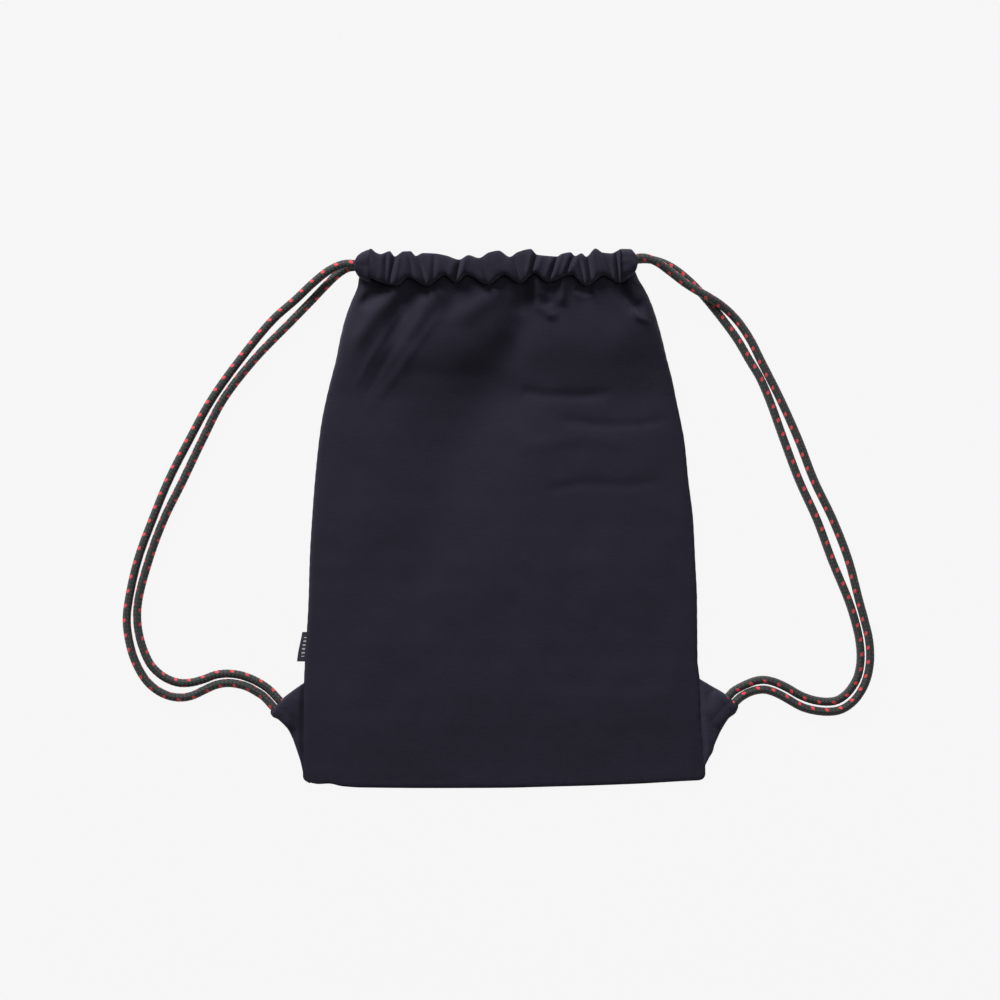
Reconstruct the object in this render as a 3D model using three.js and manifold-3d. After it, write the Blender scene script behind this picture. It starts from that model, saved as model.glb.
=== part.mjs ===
// Drawstring backpack, empty and lying flat on its back panel. Millimetres, +Z up.
// The origin is on the floor under the middle of the bag; +Y points from the bottom seam to the mouth.
// The mouth is half gathered: two drawcords run through the casings, each making a U-turn (bight)
// at the far end, so that pulling both cords outwards draws the two ends of the mouth together.
import * as THREE from "three";
import { mergeVertices } from "three/addons/utils/BufferGeometryUtils.js";
import Module from "manifold-3d";

const wasm = await Module();
wasm.setup();

// ---- driving dimensions -------------------------------------------------------------------
const GAP = 0.3; // between pieces that touch
const CLOTH = 1.2; // thickness of the bag cloth
const HALF_LENGTH = 235.6; // mouth edge and bottom seam, from the origin
const CORD_D = 7; // braided drawcord
const CORD_R = CORD_D / 2;
const CORD_SIDES = 8; // faces round a cord
const STRAND_STEPS = 56;

const CASING_WIDTH = 28.6; // folded width of the drawcord casing
const CASING_THICK = CORD_D + 2 * (CLOTH + GAP); // one cord, two layers of cloth
const MOUTH_GAP = 6; // the half-gathered mouth stands this far open
const MOUTH_HEIGHT = 2 * CASING_THICK + MOUTH_GAP;
const MOUTH_LEFT = -130; // outer ends of the gathered mouth
const MOUTH_RIGHT = 117;
const HEM_LEFT_LENGTH = 14; // hemmed cord outlets at the two ends of the mouth
const HEM_RIGHT_LENGTH = 16;
const CASING_LOW = HALF_LENGTH - CASING_WIDTH; // the casing stitch line
const BACK_LANE_Z = CASING_THICK / 2; // cord height in the back casing
const FRONT_LANE_Z = MOUTH_HEIGHT - CASING_THICK / 2; // and in the front casing
const LEFT_LANE_Y = 218; // the two cords run side by side in each casing
const RIGHT_LANE_Y = 225.9;

const CROWN = 14; // height of the front panel over the middle of the bag
const SIDE_GAP = 3; // room between the panels at their edges, where the seams and tabs are sewn in
const CORNER_R = 9; // rounded bottom corners
const SEAM_INSET = 3.5; // the seam allowances lie inside the edge
const SEAM_WIDTH = 6;
const POCKET_GAP = 0.8; // room round the cord ends sewn into the tabs
const TAB_TIP_THICK = CORD_D + 2 * (CLOTH + GAP);
const TAB_ROOT_THICK = 1.4;
const POCKET_DEPTH = 14; // the cord ends are sewn this deep into the corner tabs
const THREAD = 0.8;

// Side edges of the panels at equal steps of height, from the bottom seam to the casing.
const LEFT_EDGE = [-176.8, -176.4, -174.9, -171.5, -169.8, -165.6, -157.8, -145.3, -128.4];
const RIGHT_EDGE = [176.5, 173.4, 169.2, 168, 165.2, 159.6, 151, 138.2, 117];
const PANEL_TOP = CASING_LOW - GAP;

// Corner tabs seen from above: root on the side seam, and the slanted edge that the cords enter.
const TABS = {
  left: {
    outline: [
      [-176.4, -145.1],
      [-193.3, -157.7],
      [-204.2, -170.1],
      [-196.3, -177.6],
      [-188, -192],
      [-177.2, -222.4],
    ],
    entry: [new THREE.Vector2(-193.3, -157.7), new THREE.Vector2(-204.2, -170.1)],
    side: -1,
  },
  right: {
    outline: [
      [171, -140.9],
      [191.6, -153.9],
      [204.2, -164.5],
      [196.3, -175.6],
      [187, -192.4],
      [176.4, -216.5],
    ],
    entry: [new THREE.Vector2(191.6, -153.9), new THREE.Vector2(204.2, -164.5)],
    side: 1,
  },
};

// Routes of the free stretches of the four cord strands, from the corner tab to the mouth: [x, y, z].
// On the floor the middle of a cord is one radius up.
const FLOOR = CORD_R;
const ROUTES = {
  left_cord_front_strand: [
    [-211, -156.8, FLOOR], [-218, -152.2, FLOOR], [-225, -148.4, FLOOR], [-232, -146.2, FLOOR],
    [-242.4, -144.9, FLOOR], [-252.9, -146.6, FLOOR], [-263.4, -151.2, FLOOR], [-273.9, -156, FLOOR],
    [-284.4, -157.6, FLOOR], [-294.9, -155.8, FLOOR], [-305.4, -150.4, FLOOR], [-314.4, -141.8, FLOOR],
    [-323.8, -124.9, FLOOR], [-328.8, -107.4, FLOOR], [-330.8, -89.9, FLOOR], [-329, -72.4, FLOOR],
    [-321.1, -37.4, FLOOR], [-308.4, -2.4, FLOOR], [-294, 32.6, FLOOR], [-276.1, 67.6, FLOOR],
    [-256.8, 102.6, FLOOR], [-231.9, 137.6, FLOOR], [-203, 172.6, FLOOR], [-183, 190.1, 6],
    [-167.8, 204.1, 10], [-154, 214.6, 14.6], [-141, 220.2, 18], [-130, 220.2, 20.4],
    [-116, LEFT_LANE_Y, FRONT_LANE_Z],
  ],
  left_cord_back_strand: [
    [-205.2, -151.6, FLOOR], [-211.6, -146.8, FLOOR], [-218.4, -142.9, FLOOR], [-225.2, -140, FLOOR],
    [-232, -137.9, FLOOR], [-242.4, -136.7, FLOOR], [-252.9, -137.8, FLOOR], [-263.4, -141.6, FLOOR],
    [-273.9, -144.4, FLOOR], [-284.4, -144.8, FLOOR], [-294.6, -141.6, FLOOR], [-303.4, -135.8, FLOOR],
    [-311, -127, FLOOR], [-318.6, -108.3, FLOOR], [-321.6, -89.9, FLOOR], [-320.6, -72.4, FLOOR],
    [-311.5, -37.4, FLOOR], [-298.6, -2.4, FLOOR], [-281.4, 32.6, FLOOR], [-264.7, 67.6, FLOOR],
    [-246.6, 102.6, FLOOR], [-219.6, 137.6, FLOOR], [-185.6, 172.6, FLOOR], [-169.3, 189.4, FLOOR],
    [-156.2, 203.2, FLOOR], [-146.4, 212.4, 3.9], [-137.4, 217.8, 4.6], [-128, 218.6, BACK_LANE_Z],
    [-114, LEFT_LANE_Y, BACK_LANE_Z],
  ],
  right_cord_front_strand: [
    [206.2, -157.2, FLOOR], [212.8, -153.4, FLOOR], [219.8, -151.2, FLOOR], [226.8, -150.7, FLOOR],
    [233.6, -152.3, FLOOR], [240.6, -155.4, FLOOR], [247.6, -159.3, FLOOR], [254.6, -163.4, FLOOR],
    [261.8, -166.7, FLOOR], [272.1, -169.2, FLOOR], [282.6, -170, FLOOR], [291.4, -168.9, FLOOR],
    [299.2, -165.2, FLOOR], [306.6, -158.6, FLOOR], [312.6, -149.6, FLOOR], [316.6, -139.6, FLOOR],
    [319, -124.9, FLOOR], [318.1, -107.4, FLOOR], [314.1, -89.9, FLOOR], [309.3, -72.4, FLOOR],
    [300.1, -37.4, FLOOR], [286.6, -2.4, FLOOR], [269.9, 32.6, FLOOR], [256.4, 67.6, FLOOR],
    [240.8, 102.6, FLOOR], [223.2, 137.6, FLOOR], [214.4, 155.1, FLOOR], [203.2, 171.6, FLOOR],
    [191.2, 183.2, 6.8], [178.4, 191.6, 11], [167.4, 197.6, 11.9], [156.8, 204.2, 12.8],
    [144, 213.8, 14.6], [131.4, 222.4, 17.6], [120, 226, 20.2], [108, RIGHT_LANE_Y, FRONT_LANE_Z],
  ],
  right_cord_back_strand: [
    [199.4, -152.3, FLOOR], [206, -148.3, FLOOR], [212.8, -145.2, FLOOR], [219.6, -142.8, FLOOR],
    [226.8, -142.2, FLOOR], [233.8, -143.5, FLOOR], [240.8, -146.2, FLOOR], [247.8, -149.7, FLOOR],
    [254.8, -153.9, FLOOR], [262, -157.3, FLOOR], [272.1, -160.3, FLOOR], [282.6, -161.2, FLOOR],
    [289.8, -160, FLOOR], [296.8, -155.8, FLOOR], [303.4, -148.2, FLOOR], [308.2, -138.9, FLOOR],
    [310.7, -124.9, FLOOR], [309.6, -107.4, FLOOR], [305.6, -89.9, FLOOR], [300, -72.4, FLOOR],
    [285.6, -37.4, FLOOR], [272.6, -2.4, FLOOR], [256.8, 32.6, FLOOR], [243.6, 67.6, FLOOR],
    [231, 102.6, FLOOR], [222.6, 122, FLOOR], [213.3, 137.6, FLOOR], [203.1, 155.1, FLOOR],
    [190.4, 172.6, FLOOR], [177.6, 188.6, FLOOR], [170, 197.4, FLOOR], [161.4, 206.2, FLOOR],
    [147.6, 217.2, 3.8], [135.6, 223, 4.4], [124, 225.4, 4.9], [108, RIGHT_LANE_Y, BACK_LANE_Z],
  ],
};

// ---- materials ----------------------------------------------------------------------------
const finish = (color, roughness) =>
  new THREE.MeshStandardMaterial({ color, roughness, metalness: 0 });
const NAVY_CLOTH = finish(0x28262f, 0.92);
const NAVY_TAPE = finish(0x232734, 0.8);
const NAVY_THREAD = finish(0x2b2935, 0.7);
const CHARCOAL_CORD = finish(0x46484a, 0.85);

const bag = new THREE.Group();

function add(name, geometry, material) {
  const mesh = new THREE.Mesh(geometry, material);
  mesh.name = name;
  bag.add(mesh);
  return mesh;
}

// ---- shape helpers ------------------------------------------------------------------------
const { lerp, smoothstep } = THREE.MathUtils;

// A closed box of nx by ny by nz cells whose every vertex is moved by place(u, v, w), each 0 to 1.
function bentBox(nx, ny, nz, place) {
  const geometry = new THREE.BoxGeometry(1, 1, 1, nx, ny, nz);
  const at = geometry.getAttribute("position");
  for (let i = 0; i < at.count; i++) {
    const p = place(at.getX(i) + 0.5, at.getY(i) + 0.5, at.getZ(i) + 0.5);
    at.setXYZ(i, p.x, p.y, p.z);
  }
  return geometry;
}

// The two side edges as smooth curves: parameter 0 at the bottom seam, 1 at the casing.
function edgeCurve(xs) {
  const step = (PANEL_TOP + HALF_LENGTH) / (xs.length - 1);
  return new THREE.SplineCurve(
    xs.map((x, i) => new THREE.Vector2(x, -HALF_LENGTH + step * i)),
  );
}
const leftEdge = edgeCurve(LEFT_EDGE);
const rightEdge = edgeCurve(RIGHT_EDGE);

// How far the side edge draws in at a height above the bottom seam, to round the corner.
function cornerInset(above) {
  if (above >= CORNER_R) return 0;
  return CORNER_R - Math.sqrt(CORNER_R ** 2 - (CORNER_R - above) ** 2);
}

// The bottom seam sags a little left of the middle.
const bottomRise = (u) => 4 * Math.abs(u - 0.4) ** 2 * 3;

// A point of the body in plan: u across from the left edge, v up from the bottom seam.
function bodyPoint(u, v) {
  const a = leftEdge.getPoint(v);
  const b = rightEdge.getPoint(v);
  const inset = cornerInset(a.y + HALF_LENGTH);
  const y = a.y + bottomRise(u) * (1 - smoothstep(v, 0, 0.2));
  return new THREE.Vector2(lerp(a.x + inset, b.x - inset, u), y);
}

// Rows of a panel lie closer together at the rounded corners and under the casing.
const ROWS = 20;
const rowShare = (w) => w - 0.09 * Math.sin(2 * Math.PI * w);

// ---- the two body panels ------------------------------------------------------------------
// Middle height of the front panel: low at the seams, crowned between them, high at the casing.
function frontHeight(u, v) {
  const edge = CLOTH + SIDE_GAP + CLOTH / 2;
  const high = lerp(CROWN, FRONT_LANE_Z, smoothstep(v, 0.72, 1));
  const across = 1 - Math.abs(2 * u - 1) ** 6;
  const along = 1 - (1 - v) ** 18;
  return edge + (high - edge) * across * along;
}

// The back panel lies on the floor and lifts only to its stitch line on the back casing.
function backHeight(u, v) {
  const lift = smoothstep(v, 0.955, 1) * (1 - Math.abs(2 * u - 1) ** 4);
  return CLOTH / 2 + (BACK_LANE_Z - CLOTH / 2) * lift;
}

function panel(name, height, columns) {
  const place = (u, w, t) => {
    const v = rowShare(w);
    const p = bodyPoint(u, v);
    return new THREE.Vector3(p.x, p.y, height(u, v) + (t - 0.5) * CLOTH);
  };
  add(name, bentBox(columns, ROWS, 1, place), NAVY_CLOTH);
}
panel("front_panel", frontHeight, 16);
panel("back_panel", backHeight, 10);

// ---- seam allowances inside the edges -----------------------------------------------------
const SEAM_LOW = CLOTH + GAP;
const SEAM_THICK = SIDE_GAP - 2 * GAP;

function sideSeam(name, edge, inwards) {
  const place = (u, w, t) => {
    const v = lerp(0.03, 0.94, w);
    const p = edge.getPoint(v);
    const x = p.x + inwards * (SEAM_INSET + u * SEAM_WIDTH);
    return new THREE.Vector3(x, p.y, SEAM_LOW + t * SEAM_THICK);
  };
  // a left-hand strip runs inwards along +X; a right-hand one is mirrored, so its box is too
  const mirrored = (u, w, t) => place(1 - u, w, t);
  add(name, bentBox(1, 16, 1, inwards > 0 ? place : mirrored), NAVY_CLOTH);
}
sideSeam("left_side_seam", leftEdge, 1);
sideSeam("right_side_seam", rightEdge, -1);

function bottomSeam() {
  const place = (u, w, t) => {
    const across = lerp(0.05, 0.95, u);
    const p = bodyPoint(across, 0);
    const x = lerp(LEFT_EDGE[0], RIGHT_EDGE[0], across);
    return new THREE.Vector3(x, p.y + SEAM_INSET + w * SEAM_WIDTH, SEAM_LOW + t * SEAM_THICK);
  };
  add("bottom_seam", bentBox(12, 1, 1, place), NAVY_CLOTH);
}
bottomSeam();

// ---- drawcord casings and their hemmed ends -------------------------------------------------
// A rounded rectangle in (y, z), from its low corner.
function roundedRect(target, y, z, width, height, r) {
  target.moveTo(y + r, z);
  target.lineTo(y + width - r, z);
  target.absarc(y + width - r, z + r, r, -Math.PI / 2, 0, false);
  target.lineTo(y + width, z + height - r);
  target.absarc(y + width - r, z + height - r, r, 0, Math.PI / 2, false);
  target.lineTo(y + r, z + height);
  target.absarc(y + r, z + height - r, r, Math.PI / 2, Math.PI, false);
  target.lineTo(y, z + r);
  target.absarc(y + r, z + r, r, Math.PI, 1.5 * Math.PI, false);
  return target;
}

// A cloth tube of that outside section, running along X from x0 to x1.
function clothTube(name, x0, x1, z, height) {
  const shape = roundedRect(new THREE.Shape(), CASING_LOW, z, CASING_WIDTH, height, 4);
  const hole = roundedRect(
    new THREE.Path(),
    CASING_LOW + CLOTH,
    z + CLOTH,
    CASING_WIDTH - 2 * CLOTH,
    height - 2 * CLOTH,
    2.8,
  );
  shape.holes.push(hole);
  const geometry = new THREE.ExtrudeGeometry(shape, {
    depth: x1 - x0,
    bevelEnabled: false,
    curveSegments: 4,
  });
  // section x, section y and depth become +Y, +Z and +X
  const turn = new THREE.Matrix4().makeBasis(
    new THREE.Vector3(0, 1, 0),
    new THREE.Vector3(0, 0, 1),
    new THREE.Vector3(1, 0, 0),
  );
  geometry.applyMatrix4(turn).translate(x0, 0, 0);
  add(name, geometry, NAVY_CLOTH);
}
const casingLeft = MOUTH_LEFT + HEM_LEFT_LENGTH + GAP;
const casingRight = MOUTH_RIGHT - HEM_RIGHT_LENGTH - GAP;
clothTube("back_casing", casingLeft, casingRight, 0, CASING_THICK);
clothTube("front_casing", casingLeft, casingRight, CASING_THICK + MOUTH_GAP, CASING_THICK);
clothTube("left_mouth_hem", MOUTH_LEFT, MOUTH_LEFT + HEM_LEFT_LENGTH, 0, MOUTH_HEIGHT);
clothTube("right_mouth_hem", MOUTH_RIGHT - HEM_RIGHT_LENGTH, MOUTH_RIGHT, 0, MOUTH_HEIGHT);

// The thread of each casing stitch line, lying on the panel just under the casing.
function casingStitch(name, height, side) {
  const place = (u, w, t) => {
    const across = lerp(0.07, 0.93, u);
    const v = 0.992;
    const p = bodyPoint(across, v);
    const surface = height(across, v) + side * (CLOTH / 2 + GAP + THREAD / 2);
    return new THREE.Vector3(p.x, p.y + (w - 0.5) * THREAD, surface + (t - 0.5) * THREAD);
  };
  add(name, bentBox(40, 1, 1, place), NAVY_THREAD);
}
casingStitch("front_casing_stitch", (u, v) => frontHeight(u, v) + GAP, 1);
casingStitch("back_casing_stitch", backHeight, 1);

// ---- corner tabs ----------------------------------------------------------------------------
const solidOf = (geometry) => {
  geometry.deleteAttribute("normal");
  geometry.deleteAttribute("uv");
  const merged = mergeVertices(geometry, 1e-3);
  return new wasm.Manifold(
    new wasm.Mesh({
      numProp: 3,
      vertProperties: merged.getAttribute("position").array,
      triVerts: new Uint32Array(merged.index.array),
    }),
  );
};

const geometryOf = (solid) => {
  const mesh = solid.getMesh();
  const geometry = new THREE.BufferGeometry();
  geometry.setAttribute("position", new THREE.BufferAttribute(mesh.vertProperties, 3));
  geometry.setIndex(new THREE.BufferAttribute(mesh.triVerts, 1));
  geometry.computeVertexNormals();
  return geometry;
};

// Where the two strands meet a tab's entry edge, and the direction from there into the tab.
function tabEntry({ entry, side }) {
  const [inner, outer] = entry;
  const along = outer.clone().sub(inner).normalize();
  const into = new THREE.Vector2(-side * Math.abs(along.y), -Math.abs(along.x));
  const middle = inner.clone().add(outer).multiplyScalar(0.5);
  const spacing = CORD_D + 0.8;
  return {
    into,
    back: middle.clone().addScaledVector(along, -spacing / 2),
    front: middle.clone().addScaledVector(along, spacing / 2),
    along,
    middle,
  };
}
const POCKET_Z = TAB_TIP_THICK / 2;

// The side edge of the body at a height.
function edgeX(side, y) {
  const edge = side < 0 ? leftEdge : rightEdge;
  return edge.getPoint((y + HALF_LENGTH) / (PANEL_TOP + HALF_LENGTH)).x;
}

// Lower and upper face of a tab: thin where it is sewn into the seam, thick round the cords.
function tabFaces(x, y, side) {
  const share = THREE.MathUtils.clamp((side * (x - edgeX(side, y)) - 0.6) / 9, 0, 1);
  return [lerp(SEAM_LOW, 0, share), lerp(SEAM_LOW + TAB_ROOT_THICK, TAB_TIP_THICK, share)];
}

// A tab spreads from its root in the seam to its outline, like a fan.
function cornerTab(name, tab) {
  const edges = tab.outline.length - 1;
  const place = (u, w, t) => {
    const out = tab.side < 0 ? 1 - u : u;
    const [tipX, tipY] = tab.outline[Math.round((1 - w) * edges)];
    const rootY = lerp(tab.outline[edges][1], tab.outline[0][1], w);
    const rootX = edgeX(tab.side, rootY) - tab.side * (SEAM_INSET - 2 * GAP);
    const x = lerp(rootX, tipX, out);
    const y = lerp(rootY, tipY, out);
    const [low, high] = tabFaces(x, y, tab.side);
    return new THREE.Vector3(x, y, lerp(low, high, t));
  };
  let solid = solidOf(bentBox(6, edges, 1, place));
  const { into, back, front } = tabEntry(tab);
  for (const mouth of [back, front]) {
    const radius = CORD_R + POCKET_GAP;
    const pocket = new THREE.CylinderGeometry(radius, radius, 2 * POCKET_DEPTH, 12);
    pocket.rotateZ(Math.atan2(into.y, into.x) - Math.PI / 2);
    pocket.translate(mouth.x, mouth.y, POCKET_Z);
    solid = solid.subtract(solidOf(pocket));
  }
  add(name, geometryOf(solid), NAVY_CLOTH);
}
cornerTab("left_corner_tab", TABS.left);
cornerTab("right_corner_tab", TABS.right);

// The bar of stitches across each tab that holds the cord ends in.
function tabStitch(name, tab) {
  const { into, along, middle } = tabEntry(tab);
  const centre = middle.clone().addScaledVector(into, 8);
  const across = new THREE.Vector2(-along.y, along.x);
  const place = (u, w, t) => {
    const p = centre.clone();
    p.addScaledVector(along, (u - 0.5) * 12).addScaledVector(across, (w - 0.5) * 2.4);
    const surface = tabFaces(p.x, p.y, tab.side)[1] + GAP;
    return new THREE.Vector3(p.x, p.y, surface + t * THREAD);
  };
  add(name, bentBox(4, 1, 1, place), NAVY_THREAD);
}
tabStitch("left_tab_stitch", TABS.left);
tabStitch("right_tab_stitch", TABS.right);

// ---- woven side label -----------------------------------------------------------------------
// A short tape folded in half and sewn into the left seam, leaning a little outwards at its foot.
const LABEL = { top: -99.7, bottom: -125.3, showsTop: 3.6, showsBottom: 6.6 };
function sideLabel() {
  const tape = 0.5;
  const low = 2;
  const place = (u, w, t) => {
    const y = lerp(LABEL.bottom, LABEL.top, w);
    const seam = leftEdge.getPoint((y + HALF_LENGTH) / (PANEL_TOP + HALF_LENGTH)).x;
    const outer = seam - lerp(LABEL.showsBottom, LABEL.showsTop, w);
    return new THREE.Vector3(lerp(outer, seam + SEAM_INSET - GAP, u), y, low + t * 3 * tape);
  };
  add("side_label", bentBox(2, 4, 1, place), NAVY_TAPE);
}
sideLabel();

// ---- drawcords ------------------------------------------------------------------------------
function cordTube(name, path, steps) {
  const section = new THREE.Shape();
  section.absarc(0, 0, CORD_R, 0, 2 * Math.PI, false);
  const geometry = new THREE.ExtrudeGeometry(section, {
    steps,
    extrudePath: path,
    bevelEnabled: false,
    curveSegments: CORD_SIDES / 2,
  });
  add(name, geometry, CHARCOAL_CORD);
}

// A cord's line, which never sinks below one lying on the floor.
class CordLine extends THREE.CatmullRomCurve3 {
  getPoint(t, target = new THREE.Vector3()) {
    super.getPoint(t, target);
    target.z = Math.max(target.z, FLOOR);
    return target;
  }
}

// A strand: sewn into the tab, laid along its route, and straight through the casing to its far end.
function strand(name, tab, tabPoint, lane) {
  const { into } = tabEntry(tab);
  const end = tabPoint.clone().addScaledVector(into, POCKET_DEPTH - GAP);
  const run = tab.side < 0 ? [-90, -40, 20, 70, 104] : [80, 30, -30, -80, -117];
  const points = [
    new THREE.Vector3(end.x, end.y, POCKET_Z),
    new THREE.Vector3(tabPoint.x, tabPoint.y, POCKET_Z),
    ...ROUTES[name].map(([x, y, z]) => new THREE.Vector3(x, y, z)),
    ...run.map((x) => new THREE.Vector3(x, lane.y, lane.z)),
  ];
  cordTube(name, new CordLine(points, false, "centripetal"), STRAND_STEPS);
}

// The U-turn that joins a cord's two strands inside the hem at the far end of the mouth.
class Bight extends THREE.Curve {
  constructor(x, y, side) {
    super();
    Object.assign(this, { x, y, side });
  }

  getPoint(t, target = new THREE.Vector3()) {
    const radius = (FRONT_LANE_Z - BACK_LANE_Z) / 2;
    const turn = Math.PI * (t - 0.5);
    const middle = (FRONT_LANE_Z + BACK_LANE_Z) / 2;
    return target.set(
      this.x + this.side * radius * Math.cos(turn),
      this.y,
      middle + radius * Math.sin(turn),
    );
  }
}

const leftEntry = tabEntry(TABS.left);
const rightEntry = tabEntry(TABS.right);
const LEFT_FRONT = { y: LEFT_LANE_Y, z: FRONT_LANE_Z };
const LEFT_BACK = { y: LEFT_LANE_Y, z: BACK_LANE_Z };
const RIGHT_FRONT = { y: RIGHT_LANE_Y, z: FRONT_LANE_Z };
const RIGHT_BACK = { y: RIGHT_LANE_Y, z: BACK_LANE_Z };
strand("left_cord_front_strand", TABS.left, leftEntry.front, LEFT_FRONT);
strand("left_cord_back_strand", TABS.left, leftEntry.back, LEFT_BACK);
strand("right_cord_front_strand", TABS.right, rightEntry.front, RIGHT_FRONT);
strand("right_cord_back_strand", TABS.right, rightEntry.back, RIGHT_BACK);
cordTube("left_cord_bight", new Bight(104 + GAP, LEFT_LANE_Y, 1), 10);
cordTube("right_cord_bight", new Bight(-117 - GAP, RIGHT_LANE_Y, -1), 10);

export default bag;
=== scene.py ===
import math

import bpy
import numpy as np
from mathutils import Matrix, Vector


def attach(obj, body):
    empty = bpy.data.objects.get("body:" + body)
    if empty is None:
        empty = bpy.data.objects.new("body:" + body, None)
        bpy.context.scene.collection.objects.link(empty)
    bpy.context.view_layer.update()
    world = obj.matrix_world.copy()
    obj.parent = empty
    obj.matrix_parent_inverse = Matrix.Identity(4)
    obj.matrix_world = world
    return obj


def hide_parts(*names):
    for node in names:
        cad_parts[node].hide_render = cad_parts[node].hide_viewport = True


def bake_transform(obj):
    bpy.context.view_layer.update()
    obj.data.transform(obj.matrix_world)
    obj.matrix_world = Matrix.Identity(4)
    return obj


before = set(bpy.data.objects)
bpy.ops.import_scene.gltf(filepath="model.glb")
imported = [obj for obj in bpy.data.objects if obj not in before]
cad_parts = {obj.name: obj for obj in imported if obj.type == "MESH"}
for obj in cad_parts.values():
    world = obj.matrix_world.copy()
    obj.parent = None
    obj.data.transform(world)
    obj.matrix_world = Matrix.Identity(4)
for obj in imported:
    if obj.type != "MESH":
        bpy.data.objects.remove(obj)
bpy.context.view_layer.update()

MM = 0.001
CORD_RADIUS = 3.5 * MM
BRAID_PITCH = 3.5 * MM
BRAID_CARRIERS = 8
FLECK_PITCH = 12.8
FLECK_LONG = 1.65
FLECK_WIDE = 1.7
THIRD_OF_TURN = 7.33

CAMERA_PLACE = (-0.0045, 0.0151, 3.0)
SENSOR_WIDTH = 36
LENS = 123.4

# ---- camera: straight down on the bag ---------------------------------------------------------
camera_data = bpy.data.cameras.new("camera")
camera = bpy.data.objects.new("camera", camera_data)
bpy.context.scene.collection.objects.link(camera)
camera.location = CAMERA_PLACE
camera_data.sensor_width = SENSOR_WIDTH
camera_data.lens = LENS
bpy.context.scene.camera = camera


# ---- small helpers ----------------------------------------------------------------------------
def smoothstep(x, low, high):
    t = np.clip((np.asarray(x, float) - low) / (high - low), 0, 1)
    return t * t * (3 - 2 * t)


def mix(a, b, t):
    return a + (b - a) * t


def spline(points, x):
    """A smooth curve through the listed (x, y) points, monotone between them, at x."""
    px, py = np.array(points, float).T
    h = np.diff(px)
    slope = np.diff(py) / h
    m = np.zeros(len(px))
    same = slope[:-1] * slope[1:] > 0
    w1, w2 = 2 * h[1:] + h[:-1], h[1:] + 2 * h[:-1]
    safe0, safe1 = np.where(same, slope[:-1], 1), np.where(same, slope[1:], 1)
    m[1:-1] = np.where(same, (w1 + w2) / (w1 / safe0 + w2 / safe1), 0)
    m[0], m[-1] = slope[0], slope[-1]
    x = np.clip(x, px[0], px[-1])
    i = np.clip(np.searchsorted(px, x) - 1, 0, len(px) - 2)
    t = (x - px[i]) / h[i]
    return (
        (2 * t**3 - 3 * t**2 + 1) * py[i]
        + (t**3 - 2 * t**2 + t) * h[i] * m[i]
        + (3 * t**2 - 2 * t**3) * py[i + 1]
        + (t**3 - t**2) * h[i] * m[i + 1]
    )


def new_object(name, vertices, faces, uv, sharp=None, flat_faces=0):
    """A mesh object; uv holds one (u, v) for each corner of each face, in the order of faces.

    The edges between sharp vertices stay sharp, and the last flat_faces faces are shaded flat.
    """
    mesh = bpy.data.meshes.new(name)
    faces = faces if isinstance(faces, list) else faces.tolist()
    mesh.from_pydata(np.asarray(vertices, float).tolist(), [], faces)
    mesh.polygons.foreach_set("use_smooth", np.arange(len(faces)) < len(faces) - flat_faces)
    layer = mesh.uv_layers.new(name="UVMap")
    layer.data.foreach_set("uv", np.asarray(uv, np.float32).ravel())
    if sharp is not None:
        ends = np.zeros(len(mesh.edges) * 2, int)
        mesh.edges.foreach_get("vertices", ends)
        a, b = ends.reshape(-1, 2).T
        mark = mesh.attributes.new("sharp_edge", "BOOLEAN", "EDGE")
        mark.data.foreach_set("value", sharp[a] & sharp[b])
    mesh.update()
    obj = bpy.data.objects.new(name, mesh)
    bpy.context.scene.collection.objects.link(obj)
    return obj


def grid_faces(rows, cols, start=0, wrap=False, flip=False):
    """Quads of a rows by cols grid of vertices; wrap joins the last column to the first."""
    i, j = np.meshgrid(np.arange(rows - 1), np.arange(cols if wrap else cols - 1), indexing="ij")
    k = (j + 1) % cols
    quads = np.stack([i * cols + j, i * cols + k, (i + 1) * cols + k, (i + 1) * cols + j], -1)
    quads = quads.reshape(-1, 4) + start
    return quads[:, ::-1] if flip else quads


def shell(name, outer, inner, flip=False):
    """A closed sheet of cloth between two grids of points; outer faces up, or down with flip."""
    rows, cols = outer.shape[:2]
    count = rows * cols
    top = grid_faces(rows, cols, 0, flip=flip)
    under = grid_faces(rows, cols, count, flip=not flip)
    index = np.arange(count).reshape(rows, cols)
    ring = np.concatenate([index[0], index[1:, -1], index[-1, -2::-1], index[-2:0:-1, 0]])
    after = np.roll(ring, -1)
    rim = np.stack([after, ring, ring + count, after + count], -1)
    rim = rim[:, ::-1] if flip else rim
    faces = np.concatenate([top, under, rim])
    points = np.concatenate([outer.reshape(-1, 3), inner.reshape(-1, 3)])
    edge = np.zeros(2 * count, bool)
    edge[ring] = edge[ring + count] = True
    return new_object(name, points, faces, points[faces.ravel()][:, :2], edge)


def normals_of(grid):
    across = np.gradient(grid, axis=1)
    along = np.gradient(grid, axis=0)
    n = np.cross(across, along)
    return n / np.maximum(np.linalg.norm(n, axis=-1, keepdims=True), 1e-12)


def waves(x, y, seed, count, shortest, longest):
    """Slow seeded unevenness, about -1 to 1, at wavelengths between the two, in millimetres."""
    rng = np.random.default_rng(seed)
    total = np.zeros(np.broadcast(x, y).shape)
    for _ in range(count):
        angle, phase = rng.uniform(0, 2 * math.pi, 2)
        k = 2 * math.pi / rng.uniform(shortest, longest)
        total += np.sin(k * (x * math.cos(angle) + y * math.sin(angle)) + phase)
    return total / math.sqrt(count)


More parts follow.
